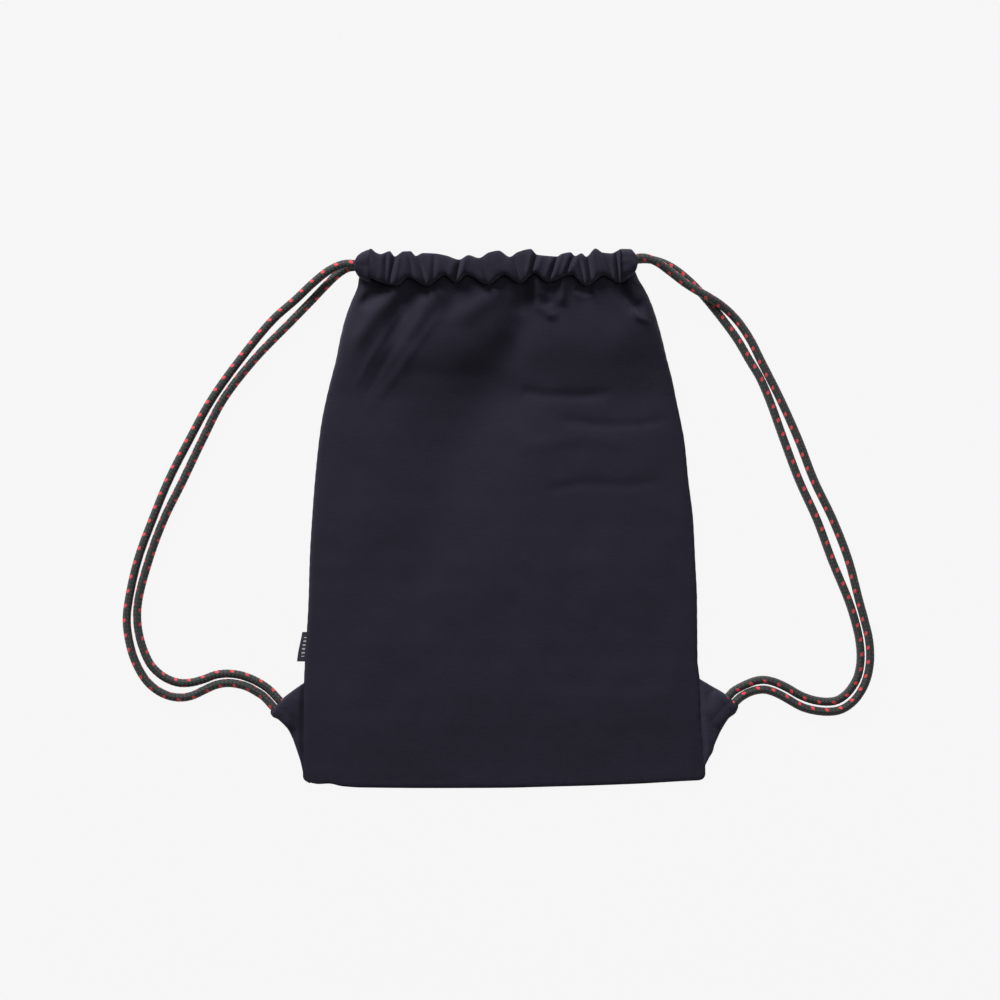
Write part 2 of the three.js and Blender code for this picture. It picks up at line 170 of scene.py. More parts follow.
def distance_to_line(x, y, line):
    """Distance from each point to a polyline, and the share of the way along it."""
    best = np.full(x.shape, 1e9)
    where = np.zeros(x.shape)
    for k, (a, b) in enumerate(zip(line[:-1], line[1:])):
        ax, ay = a
        dx, dy = b[0] - ax, b[1] - ay
        t = np.clip(((x - ax) * dx + (y - ay) * dy) / (dx * dx + dy * dy), 0, 1)
        d = np.hypot(x - ax - t * dx, y - ay - t * dy)
        nearer = d < best
        best = np.where(nearer, d, best)
        where = np.where(nearer, (k + t) / (len(line) - 1), where)
    return best, where


# ---- materials --------------------------------------------------------------------------------
class Nodes:
    """Short names for building a node tree."""

    def __init__(self, name):
        self.material = bpy.data.materials.new(name)
        self.material.use_nodes = True
        self.tree = self.material.node_tree
        self.shader = self.tree.nodes["Principled BSDF"]

    def node(self, kind, **inputs):
        made = self.tree.nodes.new(kind)
        for key, value in inputs.items():
            self.put(made, key.replace("_", " "), value)
        return made

    def put(self, node, key, value):
        socket = node.inputs[int(key)] if key.strip().isdigit() else node.inputs[key]
        if isinstance(value, bpy.types.NodeSocket):
            self.tree.links.new(value, socket)
        else:
            socket.default_value = value

    def math(self, operation, *values):
        made = self.tree.nodes.new("ShaderNodeMath")
        made.operation = operation
        for i, value in enumerate(values):
            self.put(made, str(i), value)
        return made.outputs[0]

    def uv(self, scale):
        """The x and y of the UV map, and the map itself, multiplied by scale."""
        at = self.tree.nodes.new("ShaderNodeUVMap")
        at.uv_map = "UVMap"
        grown = self.tree.nodes.new("ShaderNodeVectorMath")
        grown.operation = "SCALE"
        self.put(grown, "0", at.outputs[0])
        self.put(grown, "Scale", scale)
        split = self.node("ShaderNodeSeparateXYZ", Vector=grown.outputs[0])
        return split.outputs[0], split.outputs[1], grown.outputs[0]

    def noise(self, vector, scale, detail=2.0):
        made = self.node("ShaderNodeTexNoise", Vector=vector, Scale=scale, Detail=detail)
        return made.outputs[0]

    def ramp(self, value, *stops):
        made = self.node("ShaderNodeValToRGB", Fac=value)
        elements = made.color_ramp.elements
        while len(elements) < len(stops):
            elements.new(0.5)
        for element, (position, color) in zip(elements, stops):
            element.position = position
            element.color = (*color, 1)
        return made.outputs[0]

    def blend(self, share, a, b):
        made = self.tree.nodes.new("ShaderNodeMix")
        made.data_type = "RGBA"
        self.put(made, "0", share)
        for key, value in (("6", a), ("7", b)):
            self.put(made, key, (*value, 1) if isinstance(value, tuple) else value)
        return made.outputs[2]

    def bump(self, height, strength, distance):
        made = self.node("ShaderNodeBump", Height=height, Strength=strength, Distance=distance)
        self.tree.links.new(made.outputs[0], self.shader.inputs["Normal"])


def wave_of(nodes, value, period):
    """A sine of that period, 0 to 1."""
    turned = nodes.math("MULTIPLY", value, 2 * math.pi / period)
    return nodes.math("MULTIPLY_ADD", nodes.math("SINE", turned), 0.5, 0.5)


RIB_PITCH, WEFT_PITCH = 0.48, 0.52


def cloth_material(name, dark, light, sheen=0.15):
    """Fine plain-woven cotton with slubs and a faint heather; its UV map is in metres."""
    n = Nodes(name)
    x, y, at = n.uv(1000)
    ribs = wave_of(n, x, RIB_PITCH)
    weft = wave_of(n, y, WEFT_PITCH)
    along = n.node("ShaderNodeCombineXYZ", X=n.math("MULTIPLY", x, 0.12), Y=y)
    slub = n.noise(along.outputs[0], 0.8, 2.0)
    weave = n.math("MULTIPLY_ADD", weft, 0.4, n.math("MULTIPLY", ribs, 0.6))
    heather = n.noise(at, 0.75, 3.0)
    cloud = n.noise(at, 0.018, 2.0)
    tone = n.math("MULTIPLY_ADD", weave, 0.22, n.math("MULTIPLY", heather, 0.4))
    tone = n.math("MULTIPLY_ADD", cloud, 0.2, tone)
    tone = n.math("MULTIPLY_ADD", slub, 0.25, tone)
    n.put(n.shader, "Base Color", n.ramp(tone, (0.3, dark), (0.85, light)))
    n.put(n.shader, "Roughness", n.math("MULTIPLY_ADD", heather, 0.14, 0.8))
    n.put(n.shader, "Specular IOR Level", 0.2)
    n.put(n.shader, "Sheen Weight", sheen)
    n.put(n.shader, "Sheen Roughness", 0.45)
    n.put(n.shader, "Sheen Tint", (0.72, 0.72, 0.86, 1))
    lint = n.math("MULTIPLY_ADD", heather, 0.5, weave)
    n.bump(lint, 0.55, 0.00022)
    return n.material


NAVY = cloth_material("navy_cloth", (0.0136, 0.0117, 0.0215), (0.0313, 0.0275, 0.0480))
INSIDE = cloth_material(
    "navy_cloth_inside", (0.0138, 0.0120, 0.0215), (0.0315, 0.0285, 0.0470), sheen=0.06
)
# a lighter copy of the navy cloth for the corner tabs: painted light, for the light their flat
# faces catch
TAB_CLOTH_PAINTED_LIGHT = cloth_material("navy_cloth_tab_painted_light", (0.0175, 0.0158, 0.0285), (0.0400, 0.0370, 0.0620))


def cord_material():
    """A braided cord; u goes round it and v along it, in metres, with a lattice of red flecks."""
    n = Nodes("braided_cord")
    u, v, _ = n.uv(1.0)
    round_it = n.math("MULTIPLY", u, float(BRAID_CARRIERS))
    a = n.math("MULTIPLY_ADD", v, 1 / BRAID_PITCH, round_it)
    b = n.math("MULTIPLY_ADD", v, -1 / BRAID_PITCH, round_it)
    parity = n.math("PINGPONG", n.math("ADD", n.math("FLOOR", a), n.math("FLOOR", b)), 1.0)
    profile_a = n.math("SINE", n.math("MULTIPLY", n.math("FRACT", a), math.pi))
    profile_b = n.math("SINE", n.math("MULTIPLY", n.math("FRACT", b), math.pi))
    over = n.math("ADD", n.math("MULTIPLY", profile_a, n.math("SUBTRACT", 1.0, parity)),
                  n.math("MULTIPLY", profile_b, parity))
    yarn = n.blend(parity, (0.082, 0.085, 0.088), (0.042, 0.054, 0.047))
    # the yarn darkens to near black towards the edges of each crossing, into the crevices of the
    # braid: painted shade
    shade = n.math("MULTIPLY_ADD", over, 0.75, 0.25)
    fibre = n.noise(n.uv(900.0)[2], 1.6, 2.0)
    shaded = n.blend(n.math("MULTIPLY", shade, n.math("MULTIPLY_ADD", fibre, 0.5, 0.6)),
                     (0.006, 0.007, 0.007), yarn)
    # one red yarn comes to the surface once in each fleck pitch, on each third of the turn
    third = n.math("MULTIPLY", u, 3.0)
    near = n.math("ROUND", third)
    off_third = n.math("SUBTRACT", third, near)
    off_round = n.math("MULTIPLY", off_third, THIRD_OF_TURN / FLECK_WIDE)
    turns = n.math("MULTIPLY_ADD", v, 1 / (FLECK_PITCH * MM), n.math("MULTIPLY", near, -1 / 3))
    off_turn = n.math("SUBTRACT", turns, n.math("ROUND", turns))
    off_along = n.math("MULTIPLY", off_turn, FLECK_PITCH / FLECK_LONG)
    skew = n.math("MULTIPLY_ADD", off_round, 0.35, off_along)
    reach = n.math("POWER", n.math("ADD", n.math("POWER", n.math("ABSOLUTE", off_round), 2.6),
                                   n.math("POWER", n.math("ABSOLUTE", skew), 2.6)), 0.5)
    fleck = n.node("ShaderNodeMapRange", Value=reach)
    n.put(fleck, "From Min", 0.8)
    n.put(fleck, "From Max", 1.15)
    n.put(fleck, "To Min", 1.0)
    n.put(fleck, "To Max", 0.0)
    red = n.blend(fibre, (0.62, 0.030, 0.045), (0.95, 0.100, 0.120))
    n.put(n.shader, "Base Color", n.blend(fleck.outputs[0], shaded, red))
    n.put(n.shader, "Roughness", n.math("MULTIPLY_ADD", fibre, 0.2, 0.6))
    n.put(n.shader, "Specular IOR Level", 0.3)
    n.put(n.shader, "Sheen Weight", 0.15)
    n.bump(n.math("MULTIPLY_ADD", fibre, 0.3, over), 0.5, 0.0003)
    return n.material


CORD = cord_material()


def thread_material():
    n = Nodes("sewing_thread")
    x, y, at = n.uv(1000)
    twist = wave_of(n, n.math("MULTIPLY_ADD", y, 1.6, x), 0.7)
    fuzz = n.noise(at, 2.2, 2.0)
    tone = n.math("MULTIPLY_ADD", fuzz, 0.5, n.math("MULTIPLY", twist, 0.5))
    dark, light = (0.013, 0.011, 0.019), (0.032, 0.029, 0.046)
    n.put(n.shader, "Base Color", n.ramp(tone, (0.2, dark), (0.8, light)))
    n.put(n.shader, "Roughness", n.math("MULTIPLY_ADD", fuzz, 0.2, 0.5))
    n.bump(twist, 0.6, 0.0002)
    return n.material


THREAD = thread_material()


def label_material():
    """Woven navy tape with a plain row of pale bars; u runs across the fold, v along the tape."""
    n = Nodes("woven_label")
    u, v, _ = n.uv(1000)
    weave = n.math("MULTIPLY", wave_of(n, u, 0.36), wave_of(n, v, 0.36))
    bar_pitch, row_u, row_v = 3.4, 5.2, 12.8
    bars = n.math("GREATER_THAN", wave_of(n, v, bar_pitch), 0.62)
    inside = n.math("LESS_THAN", n.math("ABSOLUTE", n.math("SUBTRACT", u, row_u)), 1.5)
    ends = n.math("LESS_THAN", n.math("ABSOLUTE", n.math("SUBTRACT", v, row_v)), 8.6)
    mark = n.math("MULTIPLY", n.math("MULTIPLY", bars, inside), ends)
    ground = n.blend(weave, (0.012, 0.013, 0.022), (0.030, 0.032, 0.050))
    pale = n.blend(weave, (0.40, 0.41, 0.44), (0.62, 0.63, 0.66))
    n.put(n.shader, "Base Color", n.blend(mark, ground, pale))
    n.put(n.shader, "Roughness", n.math("MULTIPLY_ADD", weave, -0.2, 0.7))
    n.bump(weave, 0.5, 0.00015)
    return n.material


LABEL = label_material()


def dress(obj, material):
    obj.data.materials.append(material)
    return obj


# ---- drawcords --------------------------------------------------------------------------------
# Each strand, from inside its corner tab to the far end of the mouth: (x, y, z) in millimetres.
ROUTES = {
    "left_cord_front_strand": [
        (-191.0, -175.7, 5.0), (-201.3, -166.9, 5.0), (-211, -156.8, 3.5), (-218, -152.2, 3.5),
        (-225, -148.4, 3.5), (-232, -146.2, 3.5), (-242.4, -144.9, 3.5), (-252.9, -146.6, 3.5),
        (-263.4, -151.2, 3.5), (-273.9, -156, 3.5), (-284.4, -157.6, 3.5), (-294.9, -155.8, 3.5),
        (-305.4, -150.4, 3.5), (-314.4, -141.8, 3.5), (-323.8, -124.9, 3.5), (-328.8, -107.4, 3.5),
        (-330.8, -89.9, 3.5), (-329, -72.4, 3.5), (-321.1, -37.4, 3.5), (-308.4, -2.4, 3.5),
        (-294, 32.6, 3.5), (-276.1, 67.6, 3.5), (-256.8, 102.6, 3.5), (-231.9, 137.6, 3.5),
        (-203, 172.6, 3.5), (-183, 190.1, 6), (-167.8, 204.1, 10), (-154, 214.6, 14.6),
        (-141, 220.2, 16.8), (-130, 220.2, 18.2), (-120, 217.4, 18.2), (-107, 214.6, 18.2),
        (-94, 213.6, 18.2), (-68, 214.2, 18.2), (-42, 213.8, 18.2), (-15, 214.8, 18.2),
        (24, 216.6, 18.2), (48, 215.6, 18.2), (70, 214, 18.2), (86, 214.9, 18.2), (99, 213.6, 18.2),
    ],
    "left_cord_back_strand": [
        (-185.9, -170.1, 5.0), (-196.2, -161.0, 5.0), (-205.2, -151.6, 3.5), (-211.6, -146.8, 3.5),
        (-218.4, -142.9, 3.5), (-225.2, -140, 3.5), (-232, -137.9, 3.5), (-242.4, -136.7, 3.5),
        (-252.9, -137.8, 3.5), (-263.4, -141.6, 3.5), (-273.9, -144.4, 3.5), (-284.4, -144.8, 3.5),
        (-294.6, -141.6, 3.5), (-303.4, -135.8, 3.5), (-311, -127, 3.5), (-318.6, -108.3, 3.5),
        (-321.6, -89.9, 3.5), (-320.6, -72.4, 3.5), (-311.5, -37.4, 3.5), (-298.6, -2.4, 3.5),
        (-281.4, 32.6, 3.5), (-264.7, 67.6, 3.5), (-246.6, 102.6, 3.5), (-219.6, 137.6, 3.5),
        (-185.6, 172.6, 3.5), (-169.3, 189.4, 3.5), (-156.2, 203.2, 3.5), (-146.4, 212.4, 3.9),
        (-137.4, 217.8, 4.6), (-128, 218.6, 5), (-120, 217.2, 5), (-107, 214.6, 5),
        (-94, 213.6, 5), (-68, 214.2, 5), (-42, 213.8, 5), (-15, 214.8, 5), (24, 216.6, 5),
        (48, 215.6, 5), (70, 214, 5), (86, 214.9, 5), (99, 213.6, 5),
    ],
    "right_cord_front_strand": [
        (190.2, -172.1, 5.0), (200.9, -161.7, 5.0), (206.2, -157.2, 3.5), (212.8, -153.4, 3.5),
        (219.8, -151.2, 3.5), (226.8, -150.7, 3.5), (233.6, -152.3, 3.5), (240.6, -155.4, 3.5),
        (247.6, -159.3, 3.5), (254.6, -163.4, 3.5), (261.8, -166.7, 3.5), (272.1, -169.2, 3.5),
        (282.6, -170, 3.5), (291.4, -168.9, 3.5), (299.2, -165.2, 3.5), (306.6, -158.6, 3.5),
        (312.6, -149.6, 3.5), (316.6, -139.6, 3.5), (319, -124.9, 3.5), (318.1, -107.4, 3.5),
        (314.1, -89.9, 3.5), (309.3, -72.4, 3.5), (300.1, -37.4, 3.5), (286.6, -2.4, 3.5),
        (269.9, 32.6, 3.5), (256.4, 67.6, 3.5), (240.8, 102.6, 3.5), (223.2, 137.6, 3.5),
        (214.4, 155.1, 3.5), (203.2, 171.6, 3.5), (191.2, 183.2, 6.8), (178.4, 191.6, 11),
        (167.4, 197.6, 11.9), (156.8, 204.2, 12.8), (144, 213.8, 14.6), (131.4, 222.4, 17.6),
        (120, 226, 18.2), (106, 224, 18.2), (88, 222.2, 18.2), (70, 220.7, 18.2),
        (48, 222.2, 18.2), (24, 223.2, 18.2), (-15, 221.5, 18.2), (-42, 220.5, 18.2),
        (-68, 220.9, 18.2), (-94, 220.4, 18.2), (-112, 221.8, 18.2),
    ],
    "right_cord_back_strand": [
        (184.1, -166.9, 5.0), (194.9, -156.7, 5.0), (199.4, -152.3, 3.5), (206, -148.3, 3.5),
        (212.8, -145.2, 3.5), (219.6, -142.8, 3.5), (226.8, -142.2, 3.5), (233.8, -143.5, 3.5),
        (240.8, -146.2, 3.5), (247.8, -149.7, 3.5), (254.8, -153.9, 3.5), (262, -157.3, 3.5),
        (272.1, -160.3, 3.5), (282.6, -161.2, 3.5), (289.8, -160, 3.5), (296.8, -155.8, 3.5),
        (303.4, -148.2, 3.5), (308.2, -138.9, 3.5), (310.7, -124.9, 3.5), (309.6, -107.4, 3.5),
        (305.6, -89.9, 3.5), (300, -72.4, 3.5), (285.6, -37.4, 3.5), (272.6, -2.4, 3.5),
        (256.8, 32.6, 3.5), (243.6, 67.6, 3.5), (231, 102.6, 3.5), (222.6, 122, 3.5),
        (213.3, 137.6, 3.5), (203.1, 155.1, 3.5), (190.4, 172.6, 3.5), (177.6, 188.6, 3.5),
        (170, 197.4, 3.5), (161.4, 206.2, 3.5), (147.6, 217.2, 3.8), (135.6, 223, 4.4),
        (124, 225.4, 4.9),
        (106, 224, 5), (88, 222.2, 5), (70, 220.7, 5), (48, 222.2, 5), (24, 223.2, 5),
        (-15, 221.5, 5), (-42, 220.5, 5), (-68, 220.9, 5), (-94, 220.4, 5),
        (-112, 221.8, 5),
    ],
}
RING_STEP = 0.8 * MM
CORD_SIDES = 28
BRAID_RELIEF = 0.07
# how far each strand is turned about its line, so that the flecks don't line up
FLECK_TURNS = (0.1, 0.7, 2.15, 1.25)
# the U-turns: where the middle of each starts, and its radii across the casing and in height
TURNS = {"left": (99, 213.6, 11.6), "right": (-112, 221.8, 11.6)}
TURN_ACROSS, TURN_UP = 6.9, 6.6


def cord_line(points):
    """A centripetal Catmull-Rom line through the points, resampled in equal steps, in metres."""
    p = np.array(points, float) * MM
    p = np.vstack([2 * p[0] - p[1], p, 2 * p[-1] - p[-2]])
    pieces = []
    for a, b, c, d in zip(p, p[1:], p[2:], p[3:]):
        k1 = math.sqrt(np.linalg.norm(b - a))
        k2 = k1 + math.sqrt(np.linalg.norm(c - b))
        k3 = k2 + math.sqrt(np.linalg.norm(d - c))
        t = np.linspace(k1, k2, 24, endpoint=False)[:, None]
        a1 = a * (k1 - t) / k1 + b * t / k1
        a2 = b * (k2 - t) / (k2 - k1) + c * (t - k1) / (k2 - k1)
        a3 = c * (k3 - t) / (k3 - k2) + d * (t - k2) / (k3 - k2)
        b1 = a1 * (k2 - t) / k2 + a2 * t / k2
        b2 = a2 * (k3 - t) / (k3 - k1) + a3 * (t - k1) / (k3 - k1)
        pieces.append(b1 * (k2 - t) / (k2 - k1) + b2 * (t - k1) / (k2 - k1))
    line = np.vstack([*pieces, p[-2]])
    line[:, 2] = np.maximum(line[:, 2], CORD_RADIUS)
    run = np.concatenate([[0], np.cumsum(np.linalg.norm(np.diff(line, axis=0), axis=1))])
    at = np.linspace(0, run[-1], max(8, round(run[-1] / RING_STEP)))
    return np.stack([np.interp(at, run, line[:, i]) for i in range(3)], -1), at


def braided_cord(name, points, turn=0.0):
    """A braided tube along the points: the carriers of the braid stand out as real relief."""
    line, run = cord_line(points)
    ahead = np.gradient(line, axis=0)
    ahead /= np.linalg.norm(ahead, axis=1, keepdims=True)
    side = np.cross(ahead[0], (0, 0, 1.0))
    if np.linalg.norm(side) < 0.1:
        side = np.cross(ahead[0], (0, 1.0, 0))
    sides = []
    for direction in ahead:
        side = side - direction * (side @ direction)
        side = side / np.linalg.norm(side)
        sides.append(side)
    sides = np.array(sides)
    ups = np.cross(sides, ahead)
    share = np.arange(CORD_SIDES) / CORD_SIDES
    angle = 2 * math.pi * share + turn
    s = run[:, None]
    a = share * BRAID_CARRIERS + s / BRAID_PITCH
    b = share * BRAID_CARRIERS - s / BRAID_PITCH
    even = (np.floor(a) + np.floor(b)) % 2 == 0
    wave_a = np.abs(np.sin(math.pi * (a % 1)))
    wave_b = np.abs(np.sin(math.pi * (b % 1)))
    relief = np.where(even, wave_a**0.8 * wave_b**0.4, wave_b**0.8 * wave_a**0.4)
    radius = CORD_RADIUS * (1 + BRAID_RELIEF * (relief - 0.1))
    circle = np.cos(angle)[:, None] * sides[:, None, :] + np.sin(angle)[:, None] * ups[:, None, :]
    rings = line[:, None, :] + radius[:, :, None] * circle
    rows = len(line)
    faces = grid_faces(rows, CORD_SIDES, wrap=True, flip=True)
    points_all = np.vstack([rings.reshape(-1, 3), line[0], line[-1]])
    around = faces % CORD_SIDES
    u = around / CORD_SIDES
    last = (around.max(1) == CORD_SIDES - 1) & (around.min(1) == 0)
    u[last] = np.where(around[last] == 0, 1.0, u[last])
    uv = np.stack([u, run[faces // CORD_SIDES]], -1).reshape(-1, 2)
    first, end = rows * CORD_SIDES, rows * CORD_SIDES + 1
    j = np.arange(CORD_SIDES)
    k = (j + 1) % CORD_SIDES
    base = (rows - 1) * CORD_SIDES
    caps = [[first, int(q), int(p)] for p, q in zip(j, k)]
    caps += [[end, int(base + p), int(base + q)] for p, q in zip(j, k)]
    cap_uv = np.zeros((len(caps) * 3, 2))
    cap_uv[: CORD_SIDES * 3, 1] = 0
    cap_uv[CORD_SIDES * 3 :, 1] = run[-1]
    obj = new_object(name, points_all, faces.tolist() + caps, np.vstack([uv, cap_uv]))
    obj.data.validate()
    return dress(obj, CORD), line, float(run[-1])


for number, (name, route) in enumerate(ROUTES.items()):
    cord, line, length = braided_cord(
        name.replace("_cord", "").replace("strand", "cord"), route, FLECK_TURNS[number]
    )
    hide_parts(name)
    side = "left" if name.startswith("left") else "right"
    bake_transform(cord)

for side, (x, y, z) in TURNS.items():
    way = 1 if side == "left" else -1
    bend = [
        (x + way * TURN_ACROSS * math.cos(t), y, z + TURN_UP * math.sin(t))
        for t in np.linspace(-math.pi / 2, math.pi / 2, 9)
    ]
    bight, _, _ = braided_cord(side + "_cord_turn", bend)
    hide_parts(side + "_cord_bight")
    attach(bight, side + "_cord")

# ---- cloth: outlines of the lying bag, in millimetres -------------------------------------------
# side edges as (y, x), from the bottom corners to the drawcord casing
LEFT_EDGE = [
    (-236, -175.4), (-211, -175.6), (-180, -175.6), (-141, -174.6), (-123, -173.7), (-71, -170.6),
    (-36, -169.6), (-1, -167.6), (34, -165), (69, -161.4), (87, -158.8), (104, -155.3),
    (122, -151), (139, -146.6), (157, -143), (174, -138.8), (190, -133), (203, -127.6), (213, -126),
]
RIGHT_EDGE = [
    (-236, 176.6), (-211, 176.3), (-180, 173.6), (-141, 171.6), (-123, 169.6), (-71, 169.2),
    (-36, 167.6), (-1, 165.8), (34, 161.6), (69, 158), (87, 154.6), (104, 151), (122, 147.4),
    (139, 143), (157, 138.7), (174, 134), (188, 129.2), (200, 123.6), (209, 118.2), (217, 114.6),
]
BOTTOM_EDGE = [
    (-180, -229.5), (-168, -231.8), (-159, -231.4), (-146, -233.8), (-128, -234.9), (-60, -235.4),
    (0, -235.1), (40, -234.2), (120, -231.6), (160, -229.4), (180, -228.4),
]
# lower stitch line of the casing: it hangs low between the arches of the gathered cloth
GROOVE = [
    (-131, 210.5), (-118, 211), (-106, 207), (-93, 204.4), (-83, 211.3), (-67, 204.3),
    (-51, 213.2), (-41.6, 207), (-32, 213.6), (-13.5, 205.3), (0.4, 213.6), (14.6, 206.6),
    (27, 215.2), (38, 207.6), (59, 213.8), (71.6, 204.2), (87.3, 213.2), (97, 208), (103, 206),
    (109, 211), (117, 214),
]
# top of the mouth: rounded crests with sharp dips between them
MOUTH_TOP = [
    (-131, 229), (-125, 232.6), (-115.4, 235), (-111, 231.8), (-107, 230.4), (-99, 232.9),
    (-94.6, 228.4), (-87, 232.7), (-81, 232.9), (-76.3, 228.9), (-70, 231.3), (-60.7, 231),
    (-49.6, 229), (-38.6, 225.6), (-30.5, 229.4), (-21.5, 227), (-12.5, 231.9), (-4.4, 233.4),
    (5.4, 228), (12, 232), (23.5, 234.8), (29, 229.9), (37, 228.9), (46.2, 228.3), (50.5, 230.6),
    (58, 231.9), (62.2, 228.8), (67.7, 231), (71.8, 228.2), (79.8, 235.2), (86.2, 231.7),
    (93.4, 231), (99, 233.4), (103, 235.4), (113, 235.2), (117, 232),
]
# creases between the flutes of the gathered casing: (x at the top, x at the groove, depth, width)
FLUTES = [
    (-101.8, -102.8, 2.2, 1.9), (-94.6, -99.2, 3.0, 1.8), (-83.8, -78.5, 1.2, 1.6),
    (-76, -67.5, 3.2, 1.9), (-60.2, -61.2, 1.3, 1.7), (-37.6, -42.4, 3.0, 2.1),
    (-21.5, -12.6, 2.6, 2.2), (5.4, 14.6, 3.2, 2.2), (29, 23.6, 3.0, 1.8), (46.4, 38.8, 2.8, 1.8),
    (61.6, 53.4, 2.2, 1.7), (62.8, 70.8, 2.6, 1.6), (72.6, 75.8, 3.6, 1.8), (85.6, 95.5, 2.4, 2.0),
    (97.5, 99.8, 3.4, 1.6),
]
BACK_FLUTES = [(x - 7 + 6 * math.sin(x), y - 4, 0.3 * d, w + 0.6) for x, y, d, w in FLUTES]
# folds of the front panel: line, height (a ridge is positive), half width
FOLDS = [
    ([(-102, 209), (-113, 196), (-127, 182)], -5.0, 6.5),
    ([(-87, 205), (-100, 190), (-113, 177), (-124, 160), (-133, 142)], 3.2, 7.5),
    ([(-68, 204), (-78, 196), (-88, 185), (-96, 163), (-104, 145)], -3.8, 8),
    ([(-57, 202), (-66, 187), (-75, 173), (-84, 154)], 2.4, 8),
    ([(-40, 206), (-44, 192), (-52, 172)], -1.5, 7),
    ([(15, 207), (19, 200), (17, 190), (12, 176)], -3.6, 8),
    ([(27, 199), (21, 184), (14, 168), (6, 150), (-6, 132)], -3.6, 14),
    ([(-4, 203), (-14, 192), (-30, 180), (-44, 170)], 2.6, 9),
    ([(27, 212), (29, 197), (31, 185), (40, 177.5), (49, 176)], 3.0, 3.8),
    ([(37.5, 203), (39, 192), (40, 185)], -2.8, 3.2),
    ([(52, 210), (51, 198), (50, 184)], 3.2, 4.2),
    ([(62, 201), (70, 197.6), (79, 200.5)], -1.8, 2.8),
    ([(60, 196), (70, 193), (82, 196)], 0.8, 3.0),
    ([(98, 209), (104, 199), (113, 187), (127, 181)], -6.4, 6.0),
    ([(92, 209), (98, 201), (106, 192), (117, 175.5), (136, 168)], 2.6, 2.6),
    ([(14, 112), (34, 108), (68, 107), (104, 111)], -1.5, 5),
    ([(-88, 130), (-50, 124), (0, 126)], -0.9, 9),
    ([(10, 62), (70, 71), (132, 62)], 0.8, 7),
    ([(36, 25), (70, 31), (110, 29), (148, 35)], -0.9, 5),
    ([(48, 87), (84, 82), (118, 82), (152, 89)], -1.0, 4.5),
    ([(-83, 191), (-100, 165), (-117, 138), (-134, 106)], 0.8, 3.4),
    ([(-70, 187), (-90, 158), (-108, 130), (-126, 96)], -0.8, 4),
    ([(-54, 180), (-76, 150), (-97, 122), (-118, 94)], 0.7, 4),
    ([(20, -52), (80, -38), (150, -50)], 0.4, 9),
    ([(-150, -60), (-90, -72), (-30, -64)], 0.3, 10),
    ([(40, -140), (100, -150), (150, -138)], -0.35, 9),
    ([(-120, 30), (-70, 22), (-20, 34)], -0.3, 10),
]
CLOTH_THICK = 0.7
FLOOR_CLEAR = 0.25
# the lists above count from the middle of the cloth, the frame from the middle of the whole part
ORIGIN = np.array([-1.35, -1.5, 0.0])


def placed(points):
    """Points of the cloth lists, in the frame and in metres."""
    return (np.asarray(points, float) + ORIGIN) * MM


def circle_rise(distance, radius):
    """0 to 1, rising from an edge like a quarter of a circle."""
    t = np.clip(np.asarray(distance) / radius, 0, 1)
    return np.sqrt(np.maximum(0, 1 - (1 - t) ** 2))


def body_grid(rows, cols):
    """Plan positions of a panel: rows from the bottom edge to the stitch line, columns across."""
    r = np.linspace(0, 1, rows)[:, None]
    v = r - 0.055 * np.sin(2 * math.pi * r) - 0.01 * np.sin(4 * math.pi * r)
    c = np.linspace(0, 1, cols)[None, :]
    u = c - 0.035 * np.sin(2 * math.pi * c)
    flat_x = mix(-176.0, 176.0, u) * np.ones_like(v)
    low = spline(BOTTOM_EDGE, flat_x)
    top_x = mix(-127.5, 117.0, u)
    high = spline(GROOVE, top_x) + 4.5
    y = mix(low, high * np.ones_like(v), v)
    above = np.clip(y - low, 0, 99)
    inset = np.where(above < 6, 6 - np.sqrt(np.maximum(0, 36 - (6 - above) ** 2)), 0)
    pucker = 0.07 * np.sin(y * 0.62 + 0.8 * np.sin(y * 0.13)) * smoothstep(above, 4, 20)
    left = spline(LEFT_EDGE, y) + inset + pucker
    right = spline(RIGHT_EDGE, y) - inset + 0.9 * pucker
    return mix(left, right, u), y, left, right, low


